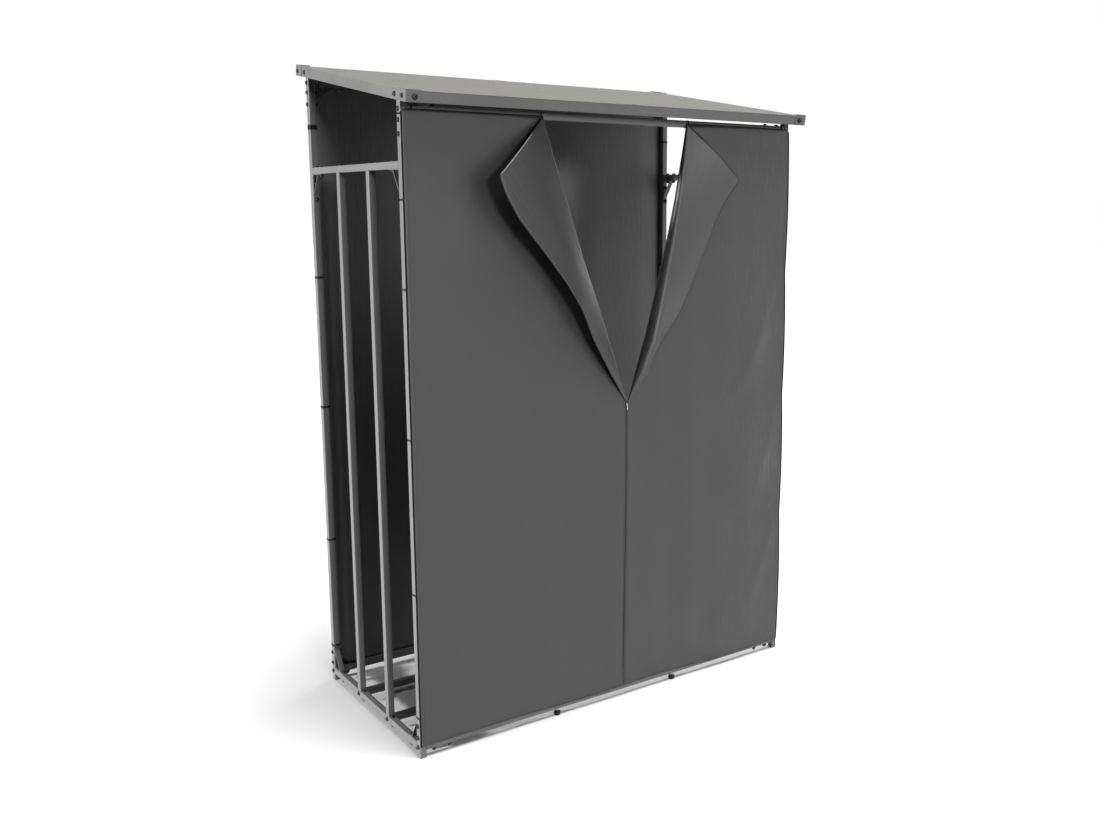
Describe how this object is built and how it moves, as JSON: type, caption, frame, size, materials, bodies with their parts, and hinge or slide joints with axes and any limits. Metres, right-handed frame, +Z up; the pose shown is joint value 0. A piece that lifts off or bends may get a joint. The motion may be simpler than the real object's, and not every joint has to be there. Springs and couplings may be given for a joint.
{
  "type": "log store",
  "caption": "Open log store of square steel tube with slatted sides, a lean-to sheet roof, a zipped front cover turned back at the top and a back cover.",
  "frame": {"origin": "on the floor, below the middle of the object's bounding box", "axes": "+Z up, +X to the right along the front, +Y from the front to the back"},
  "size_m": [1.393, 0.8222, 1.9603],
  "materials": {
    "frame_steel": "satin",
    "gusset_steel": "satin",
    "roof_sheet": "satin",
    "roof_trim": "satin",
    "cover_cloth": "satin",
    "zip_plastic": "matte",
    "foot_rubber": "matte"
  },
  "bodies": {
    "root": {"front_left_post": "frame_steel", "front_right_post": "frame_steel", "back_left_post": "frame_steel", "back_right_post": "frame_steel", "bottom_front_rail": "frame_steel", "bottom_back_rail": "frame_steel", "bottom_left_rail": "frame_steel", "bottom_right_rail": "frame_steel", "front_floor_bar": "frame_steel", "back_floor_bar": "frame_steel", "left_mid_rail": "frame_steel", "right_mid_rail": "frame_steel", "left_front_slat": "frame_steel", "left_back_slat": "frame_steel", "right_front_slat": "frame_steel", "right_back_slat": "frame_steel", "top_front_rail": "frame_steel", "top_back_rail": "frame_steel", "bottom_front_gussets": "gusset_steel", "bottom_back_gussets": "gusset_steel", "top_front_gussets": "gusset_steel", "top_back_gussets": "gusset_steel", "left_bottom_gussets": "gusset_steel", "right_bottom_gussets": "gusset_steel", "left_mid_gussets": "gusset_steel", "right_mid_gussets": "gusset_steel", "roof_left_panel": "roof_sheet", "roof_right_panel": "roof_sheet", "front_roof_trim": "roof_trim", "back_roof_trim": "roof_trim", "left_roof_trim": "roof_trim", "right_roof_trim": "roof_trim", "front_left_roof_bracket": "roof_trim", "front_right_roof_bracket": "roof_trim", "back_left_roof_bracket": "roof_trim", "back_right_roof_bracket": "roof_trim", "front_centre_feet": "foot_rubber", "back_centre_feet": "foot_rubber", "front_cover_left": "cover_cloth", "front_cover_right": "cover_cloth", "front_zip": "zip_plastic", "back_cover": "cover_cloth"}
  },
  "joints": []
}
